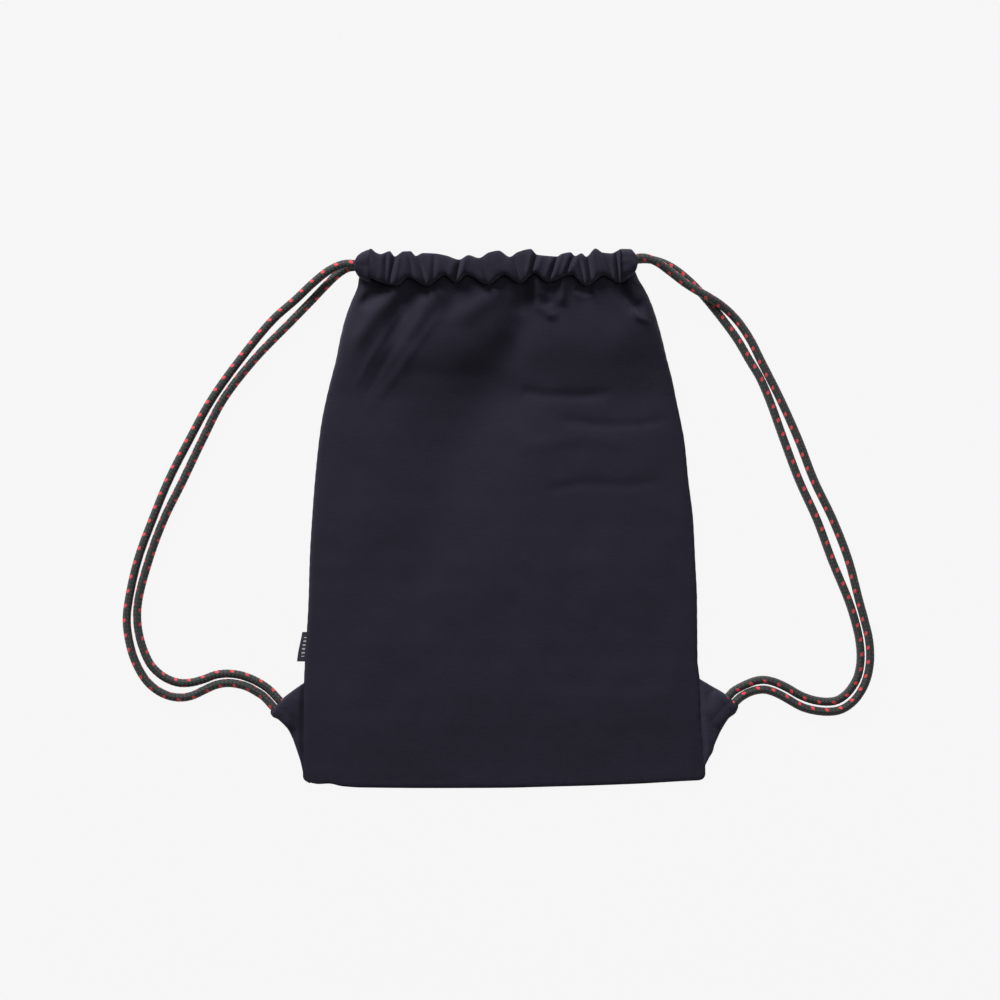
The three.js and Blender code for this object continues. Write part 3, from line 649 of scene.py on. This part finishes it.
def front_height(x, y, left, right, low):
    """Height of the front cloth: a low cushion that rises to the mouth, with its folds."""
    edge = np.minimum(x - left, right - x)
    above = y - low
    near_mouth = smoothstep(y, 95, 200)
    reach = mix(85.0, 17.0, near_mouth)
    rise = mix(0.30, 0.10, near_mouth) * circle_rise(edge, 4.5)
    rise = rise + mix(0.70, 0.90, near_mouth) * circle_rise(edge, reach) ** 1.15
    foot = 0.34 * circle_rise(above, 4.5) + 0.66 * smoothstep(above, -6, 85)
    plateau = mix(9.4, 19.0, smoothstep(y, 100, 164))
    plateau = plateau - 1.5 * smoothstep(y, 30, -150)
    edge_z = mix(2.4, 6.0, smoothstep(y, 150, 208))
    z = edge_z + (plateau - edge_z) * rise * foot
    inner = smoothstep(edge, 0, 12) * smoothstep(above, 0, 14)
    folds = np.zeros_like(z)
    for line, height, width in FOLDS:
        d, share = distance_to_line(x, y, line)
        fade = smoothstep(share, -0.02, 0.12) * smoothstep(share, 1.02, 0.7)
        folds += height * np.exp(-((d / width) ** 2)) * np.maximum(fade, 0.0)
    # the broad slanting hollow under the middle of the mouth
    across = (x - 11 - 0.42 * (y - 160)) / mix(27, 44, smoothstep(y, 200, 60))
    folds -= 7.0 * np.exp(-(across**2)) * smoothstep(y, 206, 130) * smoothstep(y, -130, 105)
    # the cloth swells under each arch of the casing and dives under its stitch line
    below = spline(GROOVE, x) - y
    arch = (spline(GROOVE, x) - 208.8) / 4.4
    folds += 1.7 * arch * np.exp(-((np.maximum(below, 0) / 13) ** 2))
    folds -= 3.0 * np.exp(-((below / 2.0) ** 2))
    folds -= 1.2 * smoothstep(below, -0.5, -4)
    folds += 0.5 * waves(x, y, 11, 9, 60, 150) + 0.14 * waves(x, y, 12, 9, 18, 45)
    # small puckers along the seams
    tuck = 0.07 * np.sin(y * 0.62 + 0.8 * np.sin(y * 0.13) + 0.6) * np.exp(-((edge / 7) ** 2))
    tuck += 0.08 * np.sin(x * 0.55 + np.sin(x * 0.11)) * np.exp(-((above / 6) ** 2))
    return z + folds * inner + tuck


def back_height(x, y, left, right, low):
    """Height of the back cloth, which lies on the floor except at its edges and slight creases."""
    edge = np.minimum(x - left, right - x)
    above = y - low
    sides = 1.5 * np.exp(-((edge / 3.2) ** 2)) + 1.4 * np.exp(-((above / 3.2) ** 2))
    lift = 2.2 * smoothstep(y, 190, 212)
    creases = 0.25 + 0.25 * waves(x, y, 21, 8, 40, 110) + 0.1 * waves(x, y, 22, 8, 16, 40)
    return FLOOR_CLEAR + np.minimum(sides, 1.7) + lift + np.maximum(creases, 0)


def gather(obj):
    """Bakes obj's placement into its mesh; obj stays where it is."""
    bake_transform(obj)
    return obj


def halves(name, outer, inner, material, nodes, flip=False):
    """A sheet in two pieces that meet at the middle of the mouth."""
    middle = outer.shape[1] // 2
    made = []
    for side, cut in (("left", slice(0, middle + 1)), ("right", slice(middle, None))):
        piece = shell(name + "_" + side, placed(outer[:, cut]), placed(inner[:, cut]), flip)
        dress(piece, material)
        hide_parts(*nodes)
        gather(piece)
        made.append(piece)
    return made


ROWS, COLS = ((300, 241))
x, y, left, right, low = body_grid(ROWS, COLS)
front_z = front_height(x, y, left, right, low)
back_z = back_height(x, y, left, right, low)
front = np.stack([x, y, front_z], -1)
front_inner = front - normals_of(front) * CLOTH_THICK
front_inner[..., 2] = np.maximum(front_inner[..., 2], 1.6)
back = np.stack([x, y, back_z], -1)
back_inner = back + np.array([0, 0, CLOTH_THICK])
front_pieces = halves("front_cloth", front, front_inner, NAVY, ["front_panel"])
back_pieces = halves("back_cloth", back, back_inner, NAVY, ["back_panel"], flip=True)

# ---- drawcord casings ------------------------------------------------------------------------
CASING_LEFT, CASING_RIGHT = -116.4, 101.2


def gathered_tube(name, node, low_z, mid_z, high_z, flutes, drop, cols):
    """A closed casing of gathered cloth, with a flute line between each two puckers."""
    around = 56
    x = np.linspace(CASING_LEFT, CASING_RIGHT, cols)[:, None]
    angle = np.linspace(0, 2 * math.pi, around, endpoint=False)[None, :]
    top = spline(MOUTH_TOP, x) - drop
    bottom = spline(GROOVE, x) - 1.2
    centre, reach = (top + bottom) / 2, (top - bottom) / 2
    c, s = np.cos(angle), np.sin(angle)
    squared = np.sign(c) * np.abs(c) ** 0.8
    y = centre + reach * squared
    rise = np.where(s > 0, high_z - mid_z, mid_z - low_z) * np.sign(s) * np.abs(s) ** 0.5
    z = mid_z + rise + 0 * x
    upper = np.maximum(s, 0) ** 0.6
    share = np.clip((y - bottom) / (top - bottom), 0, 1)
    relief = np.zeros_like(z)
    for at_top, at_groove, depth, width in flutes:
        line_x = mix(at_groove, at_top, share)
        d = (x - line_x) / width
        relief -= 1.1 * depth * np.exp(-np.abs(d) ** 1.3)
        relief += 0.35 * depth * np.exp(-(((np.abs(d) - 2.2) / 1.3) ** 2))
    relief += 0.25 * waves(x, y, 31, 8, 9, 26)
    z = z + (relief - 0.1 * (y - bottom)) * upper
    outer = np.stack([x * np.ones_like(z), y, z], -1)
    middle = cols // 2
    for side, cut in (("left", slice(0, middle + 1)), ("right", slice(middle, None))):
        part = outer[cut]
        rows = part.shape[0]
        points = part.reshape(-1, 3)
        faces = grid_faces(rows, around, wrap=True, flip=True)
        ends = np.array([part[0].mean(0), part[-1].mean(0)])
        count = len(points)
        j = np.arange(around)
        k = (j + 1) % around
        base = (rows - 1) * around
        caps = [[count, int(b), int(a)] for a, b in zip(j, k)]
        caps += [[count + 1, int(base + a), int(base + b)] for a, b in zip(j, k)]
        every = placed(np.vstack([points, ends]))
        piece_faces = faces.tolist() + caps
        flat = np.concatenate([every[np.array(f)] for f in piece_faces])
        uv = np.stack([flat[:, 0], flat[:, 1] + flat[:, 2]], -1)
        piece = new_object(name + "_" + side, every, piece_faces, uv, flat_faces=len(caps))
        dress(piece, NAVY)
        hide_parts(node)
        gather(piece)


CASING_COLS = 437
gathered_tube("front_casing_cloth", "front_casing", 14.0, 20.0, 28.0, FLUTES, 0.0, CASING_COLS)
gathered_tube("back_casing_cloth", "back_casing", 0.4, 5.4, 10.4, BACK_FLUTES, 0.8, CASING_COLS)


# ---- hemmed ends of the mouth ------------------------------------------------------------------
def mouth_hem(side, x_open, x_in):
    """The turned-in end of the mouth, an open cuff that both strands of a cord leave through."""
    rows, around = ((28, 96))
    way = 1 if side == "right" else -1
    angle = np.linspace(0, 2 * math.pi, around, endpoint=False)[None, :]
    turn = np.concatenate([np.linspace(0, 1, rows)[:, None], np.linspace(1, 0, rows)[:, None]])
    inside = np.concatenate([np.zeros(rows), np.ones(rows)])[:, None]
    x = mix(x_in, x_open, turn)
    top = spline(MOUTH_TOP, x)
    bottom = mix(205.5, 213.5 if side == "right" else 211.5, turn**1.5)
    lip = np.sqrt(np.maximum(0, 1 - np.clip((turn - 0.88) / 0.12, 0, 1) ** 2))
    wall = 1.3 * (inside + (1 - inside) * (1 - lip) * 0.6)
    centre, reach = (top + bottom) / 2, (top - bottom) / 2 - wall
    c, sn = np.cos(angle), np.sin(angle)
    y = centre + reach * np.sign(c) * np.abs(c) ** 0.75
    crown = mix(25.2, 24.6, turn)
    depth = (crown - 0.5) / 2 - wall
    z = (crown + 0.5) / 2 + depth * np.sign(sn) * np.abs(sn) ** 0.7
    crease = np.exp(-(((y - centre) / 2.2) ** 2)) * (1 - np.abs(turn - 0.5) * 1.4)
    z = z - np.where(sn > 0, 0.7 * crease, 0)
    z = z + 0.3 * waves(x, y, 41 if side == "left" else 42, 7, 7, 18) * np.where(sn > 0, 1, 0.0)
    x = x - way * 3.4 * turn * ((y - centre) / reach) ** 2 + way * 0.3 * np.sin(3 * angle) * turn
    points = np.stack([x * np.ones_like(z), y, z], -1)
    faces = grid_faces(2 * rows, around, wrap=True, flip=way > 0)
    base = (2 * rows - 1) * around
    j = np.arange(around)
    k = (j + 1) % around
    join = np.stack([base + j, base + k, k, j], -1)
    join = join[:, ::-1] if way > 0 else join
    faces = np.concatenate([faces, join])
    flat = placed(points.reshape(-1, 3))
    uv = np.stack([flat[:, 0], flat[:, 1] + 0.6 * flat[:, 2]], -1)[faces.ravel()]
    piece = new_object(side + "_hem_cloth", flat, faces, uv)
    dress(piece, NAVY)
    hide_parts(side + "_mouth_hem")
    return gather(piece)


mouth_hem("left", -130.2, -115.6)
mouth_hem("right", 116.8, 100.4)

# ---- corner tabs -------------------------------------------------------------------------------
TAB_OUTLINES = {
    "left": [
        (-175.2, -143.6), (-184, -149.8), (-192.6, -156.4), (-198.4, -162.4), (-203.6, -168.9),
        (-202.2, -172.2), (-196.9, -175.2), (-188.9, -183.2), (-184.4, -192), (-180.9, -202),
        (-177.6, -212), (-175.6, -221),
    ],
    "right": [
        (171.9, -140), (182, -146), (192.6, -152.2), (199.2, -157.6), (205, -163.2),
        (203.4, -168.2), (196.2, -174.8), (189.6, -186), (184.4, -197.8), (183, -203),
        (179.6, -209), (176.6, -215),
    ],
}


def corner_tab(side):
    """A folded triangle of cloth, swollen over the two cord ends sewn into its tip."""
    way = -1 if side == "left" else 1
    rows, cols = ((90, 56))
    outline = np.array(TAB_OUTLINES[side], float)
    run = np.concatenate([[0], np.cumsum(np.linalg.norm(np.diff(outline, axis=0), axis=1))])
    at = np.linspace(run[-1], 0, rows)
    tip = np.stack([spline(np.stack([run, outline[:, i]], -1), at) for i in range(2)], -1)
    edge = LEFT_EDGE if side == "left" else RIGHT_EDGE
    root_y = np.linspace(outline[-1, 1], outline[0, 1], rows)
    root = np.stack([spline(edge, root_y) - way * 2.8, root_y], -1)
    share = np.linspace(0, 1, cols) ** 0.85
    share = share if way > 0 else share[::-1]
    plan = mix(root[:, None], tip[:, None], share[None, :, None])
    px, py = plan[..., 0], plan[..., 1]
    swell = np.zeros_like(px)
    for strand in ("front", "back"):
        route = np.array(ROUTES[f"{side}_cord_{strand}_strand"])[:3, :2] - ORIGIN[:2]
        d, _ = distance_to_line(px, py, [tuple(p) for p in route])
        swell = np.maximum(swell, np.maximum(0, 1 - (d / 13) ** 2))
    out = way * (px - root[:, None, 0])
    rim, _ = distance_to_line(px, py, [tuple(p) for p in outline])
    flat = 2.9 + 1.3 * circle_rise(rim, 1.8) + 2.4 * circle_rise(rim, 9)
    flat = mix(3.4, flat, smoothstep(out, 1, 7))
    high = flat + (9.6 - flat) * swell * smoothstep(out, 2, 16) * circle_rise(rim + 0.6, 5)
    fold_line = [tuple(mix(outline[1], outline[8], t)) for t in (0.1, 0.8)]
    d, _ = distance_to_line(px, py, fold_line)
    high = high - 0.4 * (1 - swell) * np.exp(-((d / 2.2) ** 2))
    high = high + 0.16 * waves(px, py, 51, 8, 9, 26)
    rounded = 1.6 * (1 - circle_rise(rim, 2.2)) * smoothstep(out, 4, 9)
    low_z = mix(1.9, 0.35, smoothstep(out, 2, 9)) + rounded
    high = np.maximum(high, low_z + 0.8)
    piece = shell(
        side + "_tab_cloth",
        placed(np.stack([px, py, high], -1)),
        placed(np.stack([px, py, low_z], -1)),
    )
    # the tab wears the lighter copy of the cloth, which is painted light
    dress(piece, TAB_CLOTH_PAINTED_LIGHT)
    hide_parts(side + "_corner_tab")
    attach(piece, "bag")


def stitch_row(name, path, heights, length, gap, radius=0.33):
    """Stitches of one thread along a path of (x, y) points that lie at those heights."""
    path = np.asarray(path, float)
    run = np.concatenate([[0], np.cumsum(np.linalg.norm(np.diff(path, axis=0), axis=1))])
    count = max(2, int(run[-1] / (length + gap)))
    vertices, faces = [], []
    rings, around = 7, 6
    for k in range(count):
        middle = (k + 0.5) * run[-1] / count
        for r in range(rings):
            t = -1 + 2 * r / (rings - 1)
            at = middle + t * length / 2
            (cx, cy), before, after = (
                np.array([np.interp(at + off, run, path[:, i]) for i in range(2)])
                for off in (0, -0.4, 0.4)
            )
            cz = np.interp(at, run, heights)
            ahead = after - before
            ahead /= max(np.linalg.norm(ahead), 1e-9)
            size = radius * math.sqrt(max(0.05, 1 - 0.8 * t * t))
            for q in range(around):
                a = 2 * math.pi * q / around
                side = math.cos(a) * size
                vertices.append((cx - ahead[1] * side, cy + ahead[0] * side,
                                 cz + math.sin(a) * size - 0.35 * t * t))
        start = k * rings * around
        faces += grid_faces(rings, around, start, wrap=True).tolist()
        faces.append([start + q for q in range(around)][::-1])
        faces.append([start + (rings - 1) * around + q for q in range(around)])
    points = placed(vertices)
    flat = np.concatenate([points[np.array(f)] for f in faces])
    return dress(new_object(name, points, faces, flat[:, :2]), THREAD)


for side in ("left", "right"):
    corner_tab(side)
    front_mouth = np.array(ROUTES[side + "_cord_front_strand"][1][:2]) - ORIGIN[:2]
    back_mouth = np.array(ROUTES[side + "_cord_back_strand"][1][:2]) - ORIGIN[:2]
    into = np.array(ROUTES[side + "_cord_back_strand"][0][:2]) - ORIGIN[:2] - back_mouth
    into /= np.linalg.norm(into)
    across = (front_mouth - back_mouth) / np.linalg.norm(front_mouth - back_mouth)
    middle = (front_mouth + back_mouth) / 2 + into * 6.5
    bar_steps = np.linspace(-7.5, 7.5, 21)
    bar = [middle + across * t for t in bar_steps]
    lift = [9.55 - 0.5 * math.cos(t * 0.8) for t in bar_steps]
    row = stitch_row(side + "_tab_stitching", bar, lift, 2.2, 0.7)
    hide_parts(side + "_tab_stitch")
    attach(row, "bag")


# ---- stitch lines under the casings --------------------------------------------------------------
def surface_at(grid, column_x, line_y):
    """Heights of a panel grid along a line, found column by column."""
    heights = []
    cols = np.arange(grid.shape[1])
    for gx, gy in zip(column_x, line_y):
        row = np.abs(grid[..., 1] - gy).argmin(0)
        near = np.abs(grid[row, cols, 0] - gx).argmin()
        heights.append(grid[row[near], near, 2])
    return np.array(heights)


for side, span in (("left", (-112, -7.5)), ("right", (-5.5, 97))):
    line_x = np.linspace(*span, 120)
    line_y = spline(GROOVE, line_x) - 1.6
    for name, grid, lift in (("front", front, 0.22), ("back", back, CLOTH_THICK + 0.3)):
        path = np.stack([line_x, line_y], -1)
        z = surface_at(grid, line_x, line_y) + lift
        row = stitch_row(f"{name}_casing_stitching_{side}", path, z, 2.3, 0.8, 0.26)
        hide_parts(name + "_casing_stitch")
        gather(row)


# ---- seam allowances inside the bag --------------------------------------------------------------
def allowance(name, node, inner_line, outer_line, side=None):
    """A strip of doubled, overlocked cloth edge between two lines of (x, y) points."""
    rows = 5
    t = np.linspace(0, 1, rows)[:, None, None]
    plan = mix(np.array(outer_line)[None], np.array(inner_line)[None], t)
    along = np.arange(plan.shape[1])
    z = 2.2 + 0.25 * np.sin(along * 0.9) * t[..., 0] + 0 * plan[..., 0]
    low = np.concatenate([plan, z[..., None]], -1)
    high = low + np.array([0, 0, 1.1])
    run = plan[0, -1] - plan[0, 0]
    inwards = plan[-1, 0] - plan[0, 0]
    flip = run[0] * inwards[1] - run[1] * inwards[0] < 0
    piece = shell(name, placed(high), placed(low), flip)
    dress(piece, INSIDE)
    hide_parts(node)
    return gather(piece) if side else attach(piece, "bag")


seam_y = np.linspace(-222, 182, 170)
for side, edge, way in (("left", LEFT_EDGE, 1), ("right", RIGHT_EDGE, -1)):
    edge_x = spline(edge, seam_y)
    outer_line = np.stack([edge_x + way * 4.5, seam_y], -1)
    inner_line = np.stack([edge_x + way * (9.6 + 0.3 * np.sin(seam_y * 1.7)), seam_y], -1)
    allowance(side + "_seam_allowance", side + "_side_seam", inner_line, outer_line, side)
seam_x = np.linspace(-158, 158, 150)
foot = spline(BOTTOM_EDGE, seam_x)
allowance(
    "bottom_seam_allowance",
    "bottom_seam",
    np.stack([seam_x, foot + 9.6 + 0.3 * np.sin(seam_x * 1.7)], -1),
    np.stack([seam_x, foot + 4.5], -1),
)


# ---- side label --------------------------------------------------------------------------------
TAPE_FOOT, TAPE_HEAD = -124.6, -98.8


def side_label():
    """A short tape folded in half and sewn into the left seam, its foot leaning outwards."""
    rows, half = 40, 14
    v = np.linspace(0, 1, rows)[:, None]
    y = mix(TAPE_FOOT, TAPE_HEAD, v)
    seam = spline(LEFT_EDGE, y)
    reach = mix(6.4, 3.6, v) + 0.25 * np.sin(v * 5)
    root = seam + 3.0
    fold_x = seam - reach
    thick = 0.42
    a = np.linspace(-math.pi / 2, math.pi / 2, 9)[None, :]
    lower = np.linspace(0, 1, half)[None, :]
    gap = 0.55
    x = [mix(root, fold_x, lower), fold_x - gap * np.cos(a), mix(fold_x, root, lower)]
    x = np.concatenate(x, 1)
    bulge = 0.25 * np.sin(lower * math.pi)
    z_low = 2.2 - gap - 0 * y - bulge
    z_high = 2.2 + gap + 0 * y + bulge
    z = np.concatenate([z_low, 2.2 + gap * np.sin(a) + 0 * y, z_high], 1)
    tilt = 0.25 * np.sin(v * 3.2)
    grid = np.stack([x, y * np.ones_like(x), z + tilt + 0.3], -1)
    n = normals_of(grid)
    upwards = np.sign(n[rows // 2, -1, 2])
    inner = grid - upwards * n * thick
    arc = np.concatenate([[0], np.cumsum(np.hypot(np.diff(x[0]), np.diff(z[0])))])
    piece = shell("side_label_tape", placed(grid), placed(inner), flip=upwards < 0)
    cols = grid.shape[1]
    corner = np.zeros(len(piece.data.loops), int)
    piece.data.loops.foreach_get("vertex_index", corner)
    corner %= rows * cols
    # the pale bars lie on the upper layer, so u counts from the sewn edge of that layer
    along = (TAPE_HEAD - TAPE_FOOT) * (corner // cols) / (rows - 1)
    uv = np.stack([(arc[-1] - arc)[corner % cols], along], -1) * MM
    piece.data.uv_layers[0].data.foreach_set("uv", uv.astype(np.float32).ravel())
    dress(piece, LABEL)
    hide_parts("side_label")
    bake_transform(piece)


side_label()

# ---- floor and light ---------------------------------------------------------------------------
bpy.ops.mesh.primitive_plane_add(size=8, location=(0, 0, -0.0002))
floor = bpy.context.object
floor.name = "floor"
pale = Nodes("pale_floor")
grain = pale.noise(pale.node("ShaderNodeTexCoord").outputs["Object"], 3.0)
greys = (0.3, (0.010, 0.010, 0.010)), (0.7, (0.012, 0.012, 0.012))
pale.put(pale.shader, "Base Color", pale.ramp(grain, *greys))
pale.put(pale.shader, "Roughness", 1.0)
pale.put(pale.shader, "Specular IOR Level", 0.0)
pale.put(pale.shader, "Emission Color", (1, 1, 1, 1))
pale.put(pale.shader, "Emission Strength", 0.915)
floor.data.materials.append(pale.material)

world = bpy.data.worlds.new("studio")
bpy.context.scene.world = world
world.use_nodes = True
world.node_tree.nodes["Background"].inputs[0].default_value = (1, 1, 1, 1)
world.node_tree.nodes["Background"].inputs[1].default_value = 0.2


def soft_light(name, location, aim, size, power):
    data = bpy.data.lights.new(name, "AREA")
    data.shape = "DISK"
    data.size = size
    data.energy = power
    light = bpy.data.objects.new(name, data)
    bpy.context.scene.collection.objects.link(light)
    light.location = location
    towards = Vector(aim) - Vector(location)
    light.rotation_euler = towards.to_track_quat("-Z", "Y").to_euler()


soft_light("key", (-1.75, 3.25, 1.5), (0, 0, 0), 1.35, 190)
soft_light("fill", (1.7, 0.9, 2.0), (0, 0, 0), 1.4, 9)

view = bpy.context.scene.view_settings
view.view_transform = "Standard"
view.look = "None"
